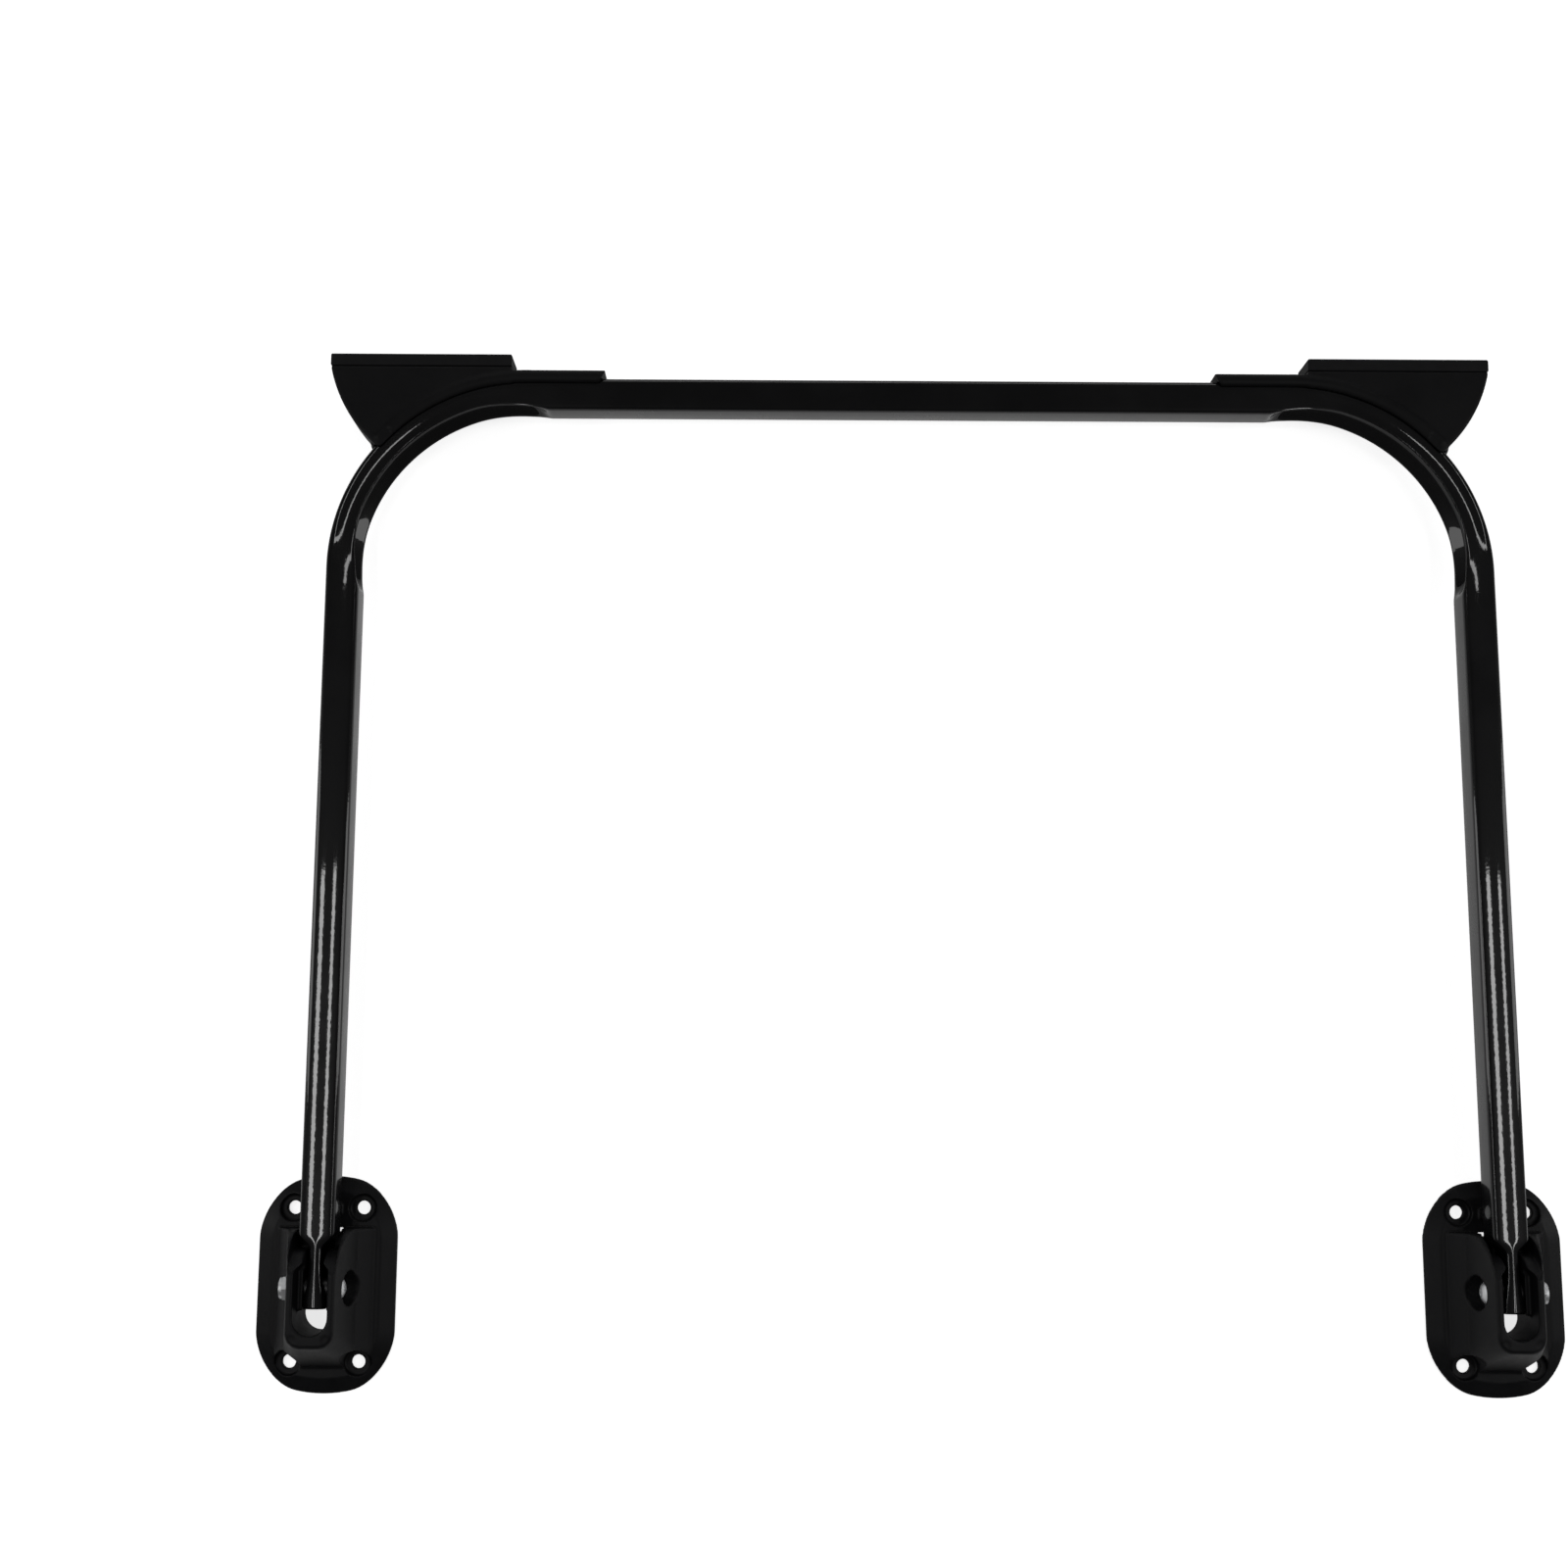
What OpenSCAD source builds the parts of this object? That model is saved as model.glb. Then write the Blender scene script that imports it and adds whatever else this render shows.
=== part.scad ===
// Folding U-frame support bracket: a bent square-tube frame that swings on two
// screw-down feet. X runs along the crossbar, Y from the feet to the crossbar and
// Z away from the surface the feet are screwed to. The origin is midway between
// the two feet, on that surface, below the pivot axis. The frame is folded flat.

/* [Frame tube] */
// Distance between the two legs, centre to centre
leg_pitch = 694; // [560:1:900]
// Distance from the pivot axis to the crossbar's centreline
bar_reach = 540; // [400:0.5:700]
// Outside width of the square tube
tube_w = 20; // [19:0.5:20]
// Wall thickness of the tube
tube_wall = 1.5; // [1.2:0.1:1.8]
// Outside corner radius of the tube
tube_corner = 2.5; // [2:0.5:4]
// Bend radius of the tube's centreline
bend_r = 110; // [100:1:120]
// Outside width of the pinched neck of a leg
neck_w = 8; // [7:0.5:9]
// Outside width of the leg at its cut end
leg_end_w = 13; // [12:0.5:13]
// Distance from the pivot axis to the start of the full-width tube
neck_reach = 31; // [31:0.5:33]
// Distance from the pivot axis to the cut end of the leg
end_reach = 11; // [10:0.5:11]

/* [Pivot] */
// Height of the pivot axis above the mounting surface
pin_z = 26; // [25.5:0.5:27]
// Diameter of the pivot bolt's shank
bolt_d = 8; // [7.5:0.1:8]
// Outside diameter of the sleeve in the leg end
sleeve_d = 12; // [11.5:0.5:13]
// Play between the bolt and the sleeve, on the radius
sleeve_play = 0.05; // [0.02:0.01:0.1]
// Diameter of the bolt's button head
head_d = 14; // [13:0.5:15]
// Height of the bolt's button head
head_h = 4.4; // [4:0.1:4.6]
// Width of the lock nut across its flats
nut_af = 13; // [12.5:0.5:13]

/* [Foot] */
// Width of the foot's plate
plate_w = 82; // [80:1:88]
// Length of the foot's plate
plate_l = 126; // [124:1:132]
// Thickness of the plate at its edge
plate_t = 4; // [3.5:0.5:4.5]
// Distance between the screw holes across the foot
hole_dx = 41; // [40:0.5:42]
// Distance between the screw holes along the foot
hole_dy = 89; // [88:0.5:91]
// Diameter of a screw hole
hole_d = 8; // [6:0.5:8.5]
// Diameter of the flat around a screw hole
spot_d = 16; // [14:0.5:17]
// Height of the housing's front face above the mounting surface
front_z = 46; // [45:0.5:47]
// Width of the housing's front face
front_w = 27; // [26:0.5:29]
// Width of the housing at its base
housing_w = 61; // [58:0.5:63]
// Width of the leg slot where it is open to the front
slot_w = 20; // [19:0.5:20.5]
// Width of the slot's throat
throat_w = 12; // [11:0.5:13]
// Width of the gap between the two cheeks that hold the leg end
cheek_gap = 14; // [14:0.1:14.5]
// Diameter of the recesses for the bolt's head and nut
recess_d = 20; // [19:0.5:20]
// Width of the drain opening above the cheeks
drain_w = 20; // [18:0.5:22]

/* [Corner blocks] */
// Overall width across the outer tips of the two pads
span = 717; // [690:1:740]
// Length of a rest pad along the crossbar
pad_l = 112; // [90:1:120]
// Thickness of a rest pad
pad_t = 8; // [6:0.5:9]
// Distance from the tube's outer face to the top of the pad
pad_rise = 14.5; // [14:0.5:17]
// Length of a corner block along the crossbar
block_l = 170; // [150:1:180]
// Distance the block's channel stands above the tube's outer face
channel_rise = 4.5; // [4:0.5:5.5]
// Thickness of the block, front to back
block_t = 26; // [25:0.5:27]
// Distance a lip of the block reaches over the tube's face
lip = 4; // [3:0.5:6]

/* [Hidden] */
$fn = 64;
eps = 0.01;
LEFT = -1;
RIGHT = 1;

leg_x = leg_pitch / 2;
bend_x = leg_x - bend_r;
bend_y = bar_reach - bend_r;
bar_top = bar_reach + tube_w / 2;

// Leg end: where the neck's narrow stretch starts and stops
neck_top = neck_reach - 8;
neck_low = neck_reach - 18;

// Foot: heights and reaches of its parts, measured from the pivot axis in Y
crown_t = plate_t + 3;
crown_in = 9;
corner_r = 25;
end_r = 75;
housing_low = -47;
housing_low_front = -31;
housing_top = 33;
housing_round = 28;
flank_w = 43.5;
flank_z = 15.5;
shoulder_r = neck_reach - 9;
slot_low = -25;
slot_wide_top = 11.5;
slot_taper = (slot_w - throat_w) / 2;
cheek_top = 34;
cheek_low = -end_reach - 1;
drain_y = 31.7;
drain_h = 2.6;
under_w = 40;
under_low = -35;
under_high = cheek_low - 1.5;
under_h = 10;
rib_y = 44;
rib_h = pin_z - tube_w / 2 - 0.1;
rib_w = 16;

// Pivot hardware: distances along the bolt from the leg's centreline
seat_x = 12;
bolt_l = 34;
bolt_play = 0.1;
washer_d = 16;
washer_t = 1.6;
nut_h = 8;
nut_insert_h = 2;
nut_hex_h = nut_h - nut_insert_h;
sleeve_l = cheek_gap - 0.6;
socket_d = 5.8;

// Corner block: the outer edge is an arc from the pad's outer end to the bend
pad_low = bar_top + pad_rise - pad_t;
edge_r = 91;
edge_x = span / 2 - 89.2;
edge_y = pad_low + 18.1;
block_tip_y = bar_reach - 35;
channel_play = 0.2;
channel_slant = 4;
screw_d = 4;
screw_head_d = 8;
screw_head_h = 2.4;
screw_l = 9;
screw_out = 3.5;
screw_angle = 62;

// Plan positions of the right block's two screws: on the crossbar and in the bend
function screw_places() = [
    [span / 2 - block_l + 22, bar_reach + screw_out],
    [bend_x + (bend_r + screw_out) * cos(screw_angle),
     bend_y + (bend_r + screw_out) * sin(screw_angle)]];

// ---------------------------------------------------------------- frame tube

module rounded_square(w, r) {
    square([w, w - 2 * r], center = true);
    square([w - 2 * r, w], center = true);
    for (x = [-1, 1], y = [-1, 1])
        translate([x * (w / 2 - r), y * (w / 2 - r)])
            circle(r);
}

// One straight or bent stretch of tube, drawn in by "inset" all round
module leg_run(side, inset) {
    translate([side * leg_x, neck_reach, pin_z])
        rotate([-90, 0, 0])
            linear_extrude(bend_y - neck_reach)
                rounded_square(tube_w - 2 * inset, tube_corner - inset);
}

module bend(side, inset) {
    translate([side * bend_x, bend_y, pin_z])
        rotate([0, 0, side == RIGHT ? 0 : 90])
            rotate_extrude(angle = 90)
                translate([bend_r, 0])
                    rounded_square(tube_w - 2 * inset, tube_corner - inset);
}

module bar_run(inset) {
    translate([-bend_x, bar_reach, pin_z])
        rotate([90, 0, 90])
            linear_extrude(2 * bend_x)
                rounded_square(tube_w - 2 * inset, tube_corner - inset);
}

// Plan of the pinched leg end, from the cut end "low" to the full width "high"
module pinched_plan(inset, low, high) {
    a = tube_w / 2 - inset;
    b = neck_w / 2 - inset;
    c = leg_end_w / 2 - inset;
    polygon([[-c, low], [c, low], [b, neck_low], [b, neck_top], [a, high],
             [-a, high], [-b, neck_top], [-b, neck_low]]);
}

module leg_end(side, inset) {
    low = inset == 0 ? -end_reach : -end_reach - 1;
    translate([side * leg_x, 0, pin_z - tube_w / 2 + inset])
        linear_extrude(tube_w - 2 * inset)
            pinched_plan(inset, low, neck_reach);
}

module tube_shape(inset) {
    for (side = [LEFT, RIGHT]) {
        leg_end(side, inset);
        leg_run(side, inset);
        bend(side, inset);
    }
    bar_run(inset);
}

module frame_tube() {
    color("#131314")
        difference() {
            tube_shape(0);
            tube_shape(tube_wall);
            for (side = [LEFT, RIGHT]) {
                translate([side * leg_x, 0, pin_z])
                    rotate([0, 90, 0])
                        cylinder(h = tube_w, d = sleeve_d, center = true);
                for (p = screw_places())
                    translate([side * p[0], p[1], pin_z - tube_w / 2 - 1])
                        cylinder(h = tube_wall + 2, d = screw_d);
            }
        }
}

// ------------------------------------------------------------- corner blocks

// Everything on the inner side of a line that far outside the tube's centreline
module inner_side(reach) {
    translate([bend_x, bend_y])
        circle(bend_r + reach, $fn = 128);
    translate([-span, bend_y])
        square([span + bend_x, bend_r + reach]);
    translate([bend_x - span, bend_y - span])
        square([span + bend_r + reach, span]);
}

module block_plan() {
    difference() {
        union() {
            // Web: below the pad, inside the outer edge's arc
            intersection() {
                translate([edge_x, edge_y])
                    circle(edge_r, $fn = 128);
                translate([span / 2 - pad_l, block_tip_y])
                    square([pad_l, pad_low - block_tip_y]);
            }
            // Channel along the crossbar, with a slanted end
            channel_end();
        }
        inner_side(tube_w / 2 - lip);
    }
}

module channel_end() {
    x0 = span / 2 - block_l;
    x1 = span / 2 - pad_l;
    polygon([[x0 + channel_slant, bar_top - lip], [x1, bar_top - lip],
             [x1, bar_top + channel_rise], [x0, bar_top + channel_rise]]);
}

module corner_block(side) {
    color("#1c1c1d")
        mirror([side == LEFT ? 1 : 0, 0, 0])
            difference() {
                translate([0, 0, pin_z - block_t / 2])
                    linear_extrude(block_t)
                        block_plan();
                // Room for the tube
                translate([0, 0, pin_z - tube_w / 2 - channel_play])
                    linear_extrude(tube_w + 2 * channel_play)
                        inner_side(tube_w / 2 + channel_play);
                pad_studs(0.05);
                for (p = screw_places())
                    translate([p[0], p[1], pin_z - block_t / 2 - eps])
                        cylinder(h = block_t / 2, d = screw_d + 0.4);
            }
}

module pad_studs(play) {
    for (x = [0.22, 0.6])
        translate([span / 2 - pad_l * x, pad_low + eps, pin_z])
            rotate([90, 0, 0])
                cylinder(h = 6 + play, r = 3 + play);
}

module rest_pad(side) {
    color("#262627")
        mirror([side == LEFT ? 1 : 0, 0, 0]) {
            translate([span / 2 - pad_l, pad_low, pin_z - block_t / 2])
                cube([pad_l, pad_t, block_t]);
            pad_studs(0);
        }
}

module block_screws(side) {
    color("#9a9ca0")
        mirror([side == LEFT ? 1 : 0, 0, 0])
            for (p = screw_places())
                translate([p[0], p[1], pin_z - block_t / 2]) {
                    translate([0, 0, -screw_head_h])
                        cylinder(h = screw_head_h, d = screw_head_d);
                    translate([0, 0, -eps])
                        cylinder(h = screw_l, d = screw_d);
                }
}

// ---------------------------------------------------------------------- feet

module plate_outline(inset) {
    r = corner_r - inset / 2;
    intersection() {
        union() {
            square([plate_w - 2 * inset, plate_l - 2 * inset - 2 * r], center = true);
            square([plate_w - 2 * inset - 2 * r, plate_l - 2 * inset], center = true);
            for (x = [-1, 1], y = [-1, 1])
                translate([x * (plate_w / 2 - inset - r), y * (plate_l / 2 - inset - r)])
                    circle(r);
        }
        translate([0, end_r - plate_l / 2])
            circle(end_r - inset, $fn = 128);
        translate([0, plate_l / 2 - end_r])
            circle(end_r - inset, $fn = 128);
    }
}

module housing() {
    intersection() {
        translate([0, plate_l / 2, 0])
            rotate([90, 0, 0])
                linear_extrude(plate_l)
                    polygon([[-housing_w / 2, 0], [housing_w / 2, 0], [housing_w / 2, crown_t],
                             [flank_w / 2, flank_z], [front_w / 2, front_z],
                             [-front_w / 2, front_z], [-flank_w / 2, flank_z],
                             [-housing_w / 2, crown_t]]);
        rotate([90, 0, 90])
            translate([0, 0, -housing_w / 2])
                linear_extrude(housing_w)
                    housing_side();
    }
}

module housing_side() {
    y1 = housing_top - housing_round;
    z1 = front_z - housing_round;
    polygon([[housing_low, 0], [y1, 0], [y1, front_z],
             [housing_low_front, front_z], [housing_low, crown_t]]);
    square([housing_top, z1]);
    translate([y1, z1])
        circle(housing_round, $fn = 96);
}

// Plan of the slot: round at the bottom, narrowed to a throat, open at the top
module slot_plan() {
    y0 = slot_low + slot_w / 2;
    translate([0, y0])
        circle(d = slot_w);
    translate([-slot_w / 2, y0])
        square([slot_w, slot_wide_top - y0]);
    polygon([[-slot_w / 2, slot_wide_top - eps], [slot_w / 2, slot_wide_top - eps],
             [throat_w / 2, slot_wide_top + slot_taper], [throat_w / 2, plate_l / 2],
             [-throat_w / 2, plate_l / 2], [-throat_w / 2, slot_wide_top + slot_taper]]);
}

module slot_cut() {
    // In front of the cheeks
    translate([0, 0, cheek_top])
        linear_extrude(front_z)
            slot_plan();
    // Between the cheeks, down to the plate
    translate([0, 0, crown_t])
        linear_extrude(front_z)
            intersection() {
                slot_plan();
                translate([-cheek_gap / 2, cheek_low - eps])
                    square([cheek_gap, plate_l]);
            }
    // Below the cheeks, right through the foot
    translate([0, 0, -1])
        linear_extrude(front_z + 2)
            intersection() {
                slot_plan();
                translate([-slot_w / 2, slot_low])
                    square([slot_w, cheek_low - slot_low]);
            }
}

// Clears the full-width tube as the leg swings
module shoulder_cut() {
    difference() {
        translate([-front_w / 2, 0, pin_z - tube_w / 2 - 0.5])
            cube([front_w, plate_l / 2, front_z]);
        translate([0, 0, pin_z])
            rotate([0, 90, 0])
                cylinder(h = front_w + 2, r = shoulder_r, center = true, $fn = 96);
    }
}

module foot(side) {
    color("#1a1a1b")
        translate([side * leg_x, 0, 0])
            difference() {
                union() {
                    linear_extrude(plate_t)
                        plate_outline(0);
                    linear_extrude(crown_t)
                        plate_outline(crown_in);
                    housing();
                    translate([-rib_w / 2, rib_y - 3, 0])
                        cube([rib_w, 6, rib_h]);
                }
                slot_cut();
                shoulder_cut();
                // Drain opening above the cheeks
                translate([-drain_w / 2, drain_y - drain_h / 2, -1])
                    cube([drain_w, drain_h, front_z]);
                // Hollow under the lower end of the housing
                translate([-under_w / 2, under_low, -1])
                    cube([under_w, under_high - under_low, under_h + 1]);
                for (x = [-1, 1], y = [-1, 1])
                    translate([x * hole_dx / 2, y * hole_dy / 2, 0]) {
                        translate([0, 0, -1])
                            cylinder(h = front_z, d = hole_d);
                        translate([0, 0, plate_t])
                            cylinder(h = front_z, d = spot_d);
                    }
                for (x = [-1, 1])
                    translate([x * seat_x, 0, pin_z])
                        rotate([0, x * 90, 0])
                            cylinder(h = housing_w / 2, d = recess_d);
                translate([0, 0, pin_z])
                    rotate([0, 90, 0])
                        cylinder(h = housing_w, r = bolt_d / 2 + bolt_play, center = true);
            }
}

// ------------------------------------------------------------ pivot hardware

// Places a piece drawn along +Z on the pivot axis, pointing away from the frame
module on_pivot(side) {
    translate([side * leg_x, 0, pin_z])
        rotate([0, side * 90, 0])
            children();
}

module pivot_sleeve(side) {
    color("#161617")
        on_pivot(side)
            difference() {
                cylinder(h = sleeve_l, d = sleeve_d, center = true);
                cylinder(h = sleeve_l + 1, r = bolt_d / 2 + sleeve_play, center = true);
            }
}

module pivot_bolt(side) {
    color("#c4c6ca")
        on_pivot(side)
            difference() {
                union() {
                    translate([0, 0, -seat_x])
                        cylinder(h = bolt_l, d = bolt_d);
                    translate([0, 0, -seat_x])
                        rotate([180, 0, 0])
                            button_head();
                }
                translate([0, 0, -seat_x - head_h - eps])
                    cylinder(h = 2.6, d = socket_d, $fn = 6);
            }
}

// Domed head, turned from its profile: a short straight rim below a dome
module button_head() {
    r = head_d / 2;
    rim = 0.8;
    rise = head_h - rim;
    dome_r = (pow(r, 2) + pow(rise, 2)) / (2 * rise);
    rotate_extrude()
        intersection() {
            square([r, head_h]);
            translate([0, head_h - dome_r])
                circle(dome_r, $fn = 96);
        }
}

module nut_washer(side) {
    color("#b9bbc0")
        on_pivot(side)
            translate([0, 0, seat_x])
                difference() {
                    cylinder(h = washer_t, d = washer_d);
                    translate([0, 0, -1])
                        cylinder(h = washer_t + 2, r = bolt_d / 2 + 0.2);
                }
}

module lock_nut(side) {
    color("#b9bbc0")
        on_pivot(side)
            translate([0, 0, seat_x + washer_t])
                difference() {
                    union() {
                        cylinder(h = nut_hex_h, d = nut_af / cos(30), $fn = 6);
                        cylinder(h = nut_h, d = nut_af - 0.6);
                    }
                    translate([0, 0, -1])
                        cylinder(h = nut_h + 2, d = bolt_d + 0.04);
                    translate([0, 0, nut_hex_h - 0.5])
                        cylinder(h = nut_insert_h, d = nut_af - 2.6);
                }
}

module nut_insert(side) {
    color("#161617")
        on_pivot(side)
            translate([0, 0, seat_x + washer_t + nut_hex_h - 0.5])
                difference() {
                    cylinder(h = nut_insert_h, d = nut_af - 2.6);
                    translate([0, 0, -1])
                        cylinder(h = nut_insert_h + 2, d = bolt_d + 0.04);
                }
}

frame_tube();
corner_block(LEFT);  // left_corner_block
corner_block(RIGHT);  // right_corner_block
rest_pad(LEFT);  // left_rest_pad
rest_pad(RIGHT);  // right_rest_pad
block_screws(LEFT);  // left_block_screws
block_screws(RIGHT);  // right_block_screws
pivot_sleeve(LEFT);  // left_pivot_sleeve
pivot_sleeve(RIGHT);  // right_pivot_sleeve
foot(LEFT);  // left_foot
foot(RIGHT);  // right_foot
pivot_bolt(LEFT);  // left_pivot_bolt
pivot_bolt(RIGHT);  // right_pivot_bolt
nut_washer(LEFT);  // left_nut_washer
nut_washer(RIGHT);  // right_nut_washer
lock_nut(LEFT);  // left_lock_nut
lock_nut(RIGHT);  // right_lock_nut
nut_insert(LEFT);  // left_nut_insert
nut_insert(RIGHT);  // right_nut_insert
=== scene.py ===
import math

import bmesh
import bpy
from mathutils import Matrix, Vector


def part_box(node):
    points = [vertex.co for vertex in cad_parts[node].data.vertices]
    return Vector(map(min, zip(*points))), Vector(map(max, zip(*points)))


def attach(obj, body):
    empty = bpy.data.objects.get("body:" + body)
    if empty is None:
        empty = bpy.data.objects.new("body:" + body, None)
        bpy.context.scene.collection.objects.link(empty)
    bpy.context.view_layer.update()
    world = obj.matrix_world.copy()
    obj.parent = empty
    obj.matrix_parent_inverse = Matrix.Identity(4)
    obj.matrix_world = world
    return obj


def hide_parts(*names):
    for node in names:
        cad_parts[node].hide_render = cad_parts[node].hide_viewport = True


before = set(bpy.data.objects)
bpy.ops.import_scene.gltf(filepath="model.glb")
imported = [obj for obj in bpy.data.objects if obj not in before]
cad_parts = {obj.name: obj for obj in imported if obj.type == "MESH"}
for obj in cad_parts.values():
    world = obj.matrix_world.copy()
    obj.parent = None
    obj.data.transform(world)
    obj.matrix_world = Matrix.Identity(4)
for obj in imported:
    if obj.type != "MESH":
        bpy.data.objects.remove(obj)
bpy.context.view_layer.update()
MM = 0.001


# ---------------------------------------------------------------- frame tube
# One length of 20 mm square steel tube, press-bent to a U: the press folds the
# inner wall of each bend into a groove. Both leg ends are squeezed to a narrow
# neck that passes the feet's slots. Gloss black paint over the bare weld-free tube.

TUBE = 20 * MM
TUBE_CORNER = 2.5 * MM
TUBE_WALL = 1.5 * MM
BEND_R = 110 * MM
tube_low, tube_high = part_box("frame_tube")
leg_x = tube_high[0] - TUBE / 2
bar_y = tube_high[1] - TUBE / 2
pin_z = (tube_low[2] + tube_high[2]) / 2
leg_end_y = tube_low[1]
bend_x = leg_x - BEND_R
bend_y = bar_y - BEND_R


def srgb(hex_colour):
    """A colour written as sRGB hex, as the linear RGBA that shaders take."""
    parts = [int(hex_colour[i:i + 2], 16) / 255 for i in (1, 3, 5)]
    linear = [p / 12.92 if p <= 0.04045 else ((p + 0.055) / 1.055) ** 2.4 for p in parts]
    return (*linear, 1.0)


def add_node(tree, kind, inputs=None, **settings):
    """Adds a node, sets its properties, and fills or links its inputs."""
    made = tree.nodes.new(kind)
    for name, value in settings.items():
        setattr(made, name, value)
    for name, value in (inputs or {}).items():
        if isinstance(value, bpy.types.NodeSocket):
            tree.links.new(value, made.inputs[name])
        else:
            made.inputs[name].default_value = value
    return made


def new_material(name, **shader):
    """A material with one Principled shader. Returns it, its tree, the shader and Object coordinates."""
    material = bpy.data.materials.new(name)
    material.use_nodes = True
    tree = material.node_tree
    principled = tree.nodes["Principled BSDF"]
    for socket, value in shader.items():
        principled.inputs[socket.replace("_", " ")].default_value = value
    place = add_node(tree, "ShaderNodeTexCoord").outputs["Object"]
    return material, tree, principled, place


def smooth_step(low, high, value):
    """0 below low, 1 above high, with a soft S between them."""
    t = min(max((value - low) / (high - low), 0), 1)
    return t * t * (3 - 2 * t)


def new_piece(name, bm, material, slot, body, *nodes):
    """Makes a piece from a bmesh: its material, the body it rides on and the CAD nodes it stands for."""
    mesh = bpy.data.meshes.new(name)
    bm.to_mesh(mesh)
    bm.free()
    piece = bpy.data.objects.new(name, mesh)
    bpy.context.scene.collection.objects.link(piece)
    mesh.materials.append(material)
    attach(piece, body)
    if nodes:
        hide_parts(*nodes)
    return piece


def bake_modifiers(piece):
    """Turns a piece's modifiers into plain mesh."""
    graph = bpy.context.evaluated_depsgraph_get()
    graph.update()
    solid = bpy.data.meshes.new_from_object(piece.evaluated_get(graph))
    piece.modifiers.clear()
    piece.data = solid
    return piece


def rounded_ring(bm, width, height, corner, segments, cuts):
    """A closed loop of edges round a rounded rectangle across the crossbar's line, centred on the axis."""
    square = bmesh.ops.create_grid(bm, x_segments=1, y_segments=1, size=0.5)["verts"]
    bmesh.ops.scale(bm, verts=square, vec=(height, width, 1))
    bmesh.ops.bevel(bm, geom=square, offset=corner, offset_type="OFFSET", affect="VERTICES",
                    segments=segments, profile=0.5, material=-1)
    sides = [e for e in bm.edges if e.calc_length() > corner]
    bmesh.ops.delete(bm, geom=bm.faces[:], context="FACES_ONLY")
    bmesh.ops.subdivide_edges(bm, edges=sides, cuts=cuts)
    bmesh.ops.rotate(bm, verts=bm.verts[:], cent=(0, 0, 0), matrix=Matrix.Rotation(math.pi / 2, 3, "Y"))
    return bm.edges[:]


def push(bm, ring, step, count):
    """Extrudes a ring of edges count times by step, and returns the last ring."""
    for _ in range(count):
        made = bmesh.ops.extrude_edge_only(bm, edges=ring)["geom"]
        ends = {g for g in made if isinstance(g, bmesh.types.BMVert)}
        bmesh.ops.translate(bm, verts=list(ends), vec=step)
        ring = [g for g in made if isinstance(g, bmesh.types.BMEdge) and ends.issuperset(g.verts)]
    return ring


def turn_bend(bm, ring, angle, steps):
    """Carries a ring of edges round the right bend, clockwise from the crossbar."""
    rim = list({v for e in ring for v in e.verts})
    made = bmesh.ops.spin(bm, geom=ring + rim, cent=(bend_x, bend_y, pin_z), axis=(0, 0, 1),
                          angle=-angle, steps=steps)["geom_last"]
    return [g for g in made if isinstance(g, bmesh.types.BMEdge)]


# Where the press works, as distances past the ends of a bend: the inner edges go
# over gradually, the groove between them starts abruptly
SHIFT_START = -12 * MM
SHIFT_FULL = 35 * MM
EDGE_SHIFT = 4 * MM
BACK_SHIFT = 1.4 * MM
GROOVE_START = -15 * MM
GROOVE_FULL = -2 * MM
GROOVE_DEPTH = 8 * MM
FACE_DISH = 0.9 * MM
FACE_CROWN = 0.4 * MM
NECK_HALF = 4 * MM
END_HALF = 6.5 * MM
NECK_TOP = 31 * MM
NECK_BOTTOM = 23 * MM
NECK_STRAIGHT = 13 * MM
NECK_CROWN = 1 * MM
SIDE_DENT = 1.6 * MM


def in_bend(co):
    """How far a point on the right half is past the bend's ends, the way outwards, and its offset that way."""
    if co.x < bend_x:
        return co.x - bend_x, Vector((0, 1, 0)), co.y - bar_y
    if co.y < bend_y:
        return co.y - bend_y, Vector((1, 0, 0)), co.x - leg_x
    out = Vector((co.x - bend_x, co.y - bend_y, 0))
    angle = math.atan2(out.y, out.x)
    inside = BEND_R * min(angle, math.pi / 2 - angle)
    return inside, out.normalized(), out.length - BEND_R


def crown_faces(co):
    """Swells the tube's four flat faces a little, as rolled tube has them."""
    past, out, offset = in_bend(co)
    along = offset / (TUBE / 2)
    across = (co.z - pin_z) / (TUBE / 2)
    swell = FACE_CROWN * across * (1 - min(along ** 2, 1))
    return co + out * FACE_CROWN * along * (1 - min(across ** 2, 1)) + Vector((0, 0, swell))


def press_bend(co):
    """Moves a tube point as the bending press does: the inner wall goes out, deepest along its middle."""
    past, out, offset = in_bend(co)
    shift = smooth_step(SHIFT_START, SHIFT_FULL, past)
    press = smooth_step(GROOVE_START, GROOVE_FULL, past)
    across = (co.z - pin_z) / (TUBE / 2)
    inner = smooth_step(TUBE * 0.42, -TUBE / 2, offset)
    groove = smooth_step(-TUBE * 0.3, -TUBE / 2, offset) * math.cos(min(abs(across), 1) * math.pi / 2)
    dish = max(0, 1 - (offset / (TUBE / 2)) ** 2) * smooth_step(0.8, 1, abs(across))
    edge = BACK_SHIFT + (EDGE_SHIFT - BACK_SHIFT) * smooth_step(-1, 1, across)
    moved = co + out * (edge * shift * inner + GROOVE_DEPTH * press * groove)
    moved.z -= math.copysign(shift * FACE_DISH * dish, across)
    return moved


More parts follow.
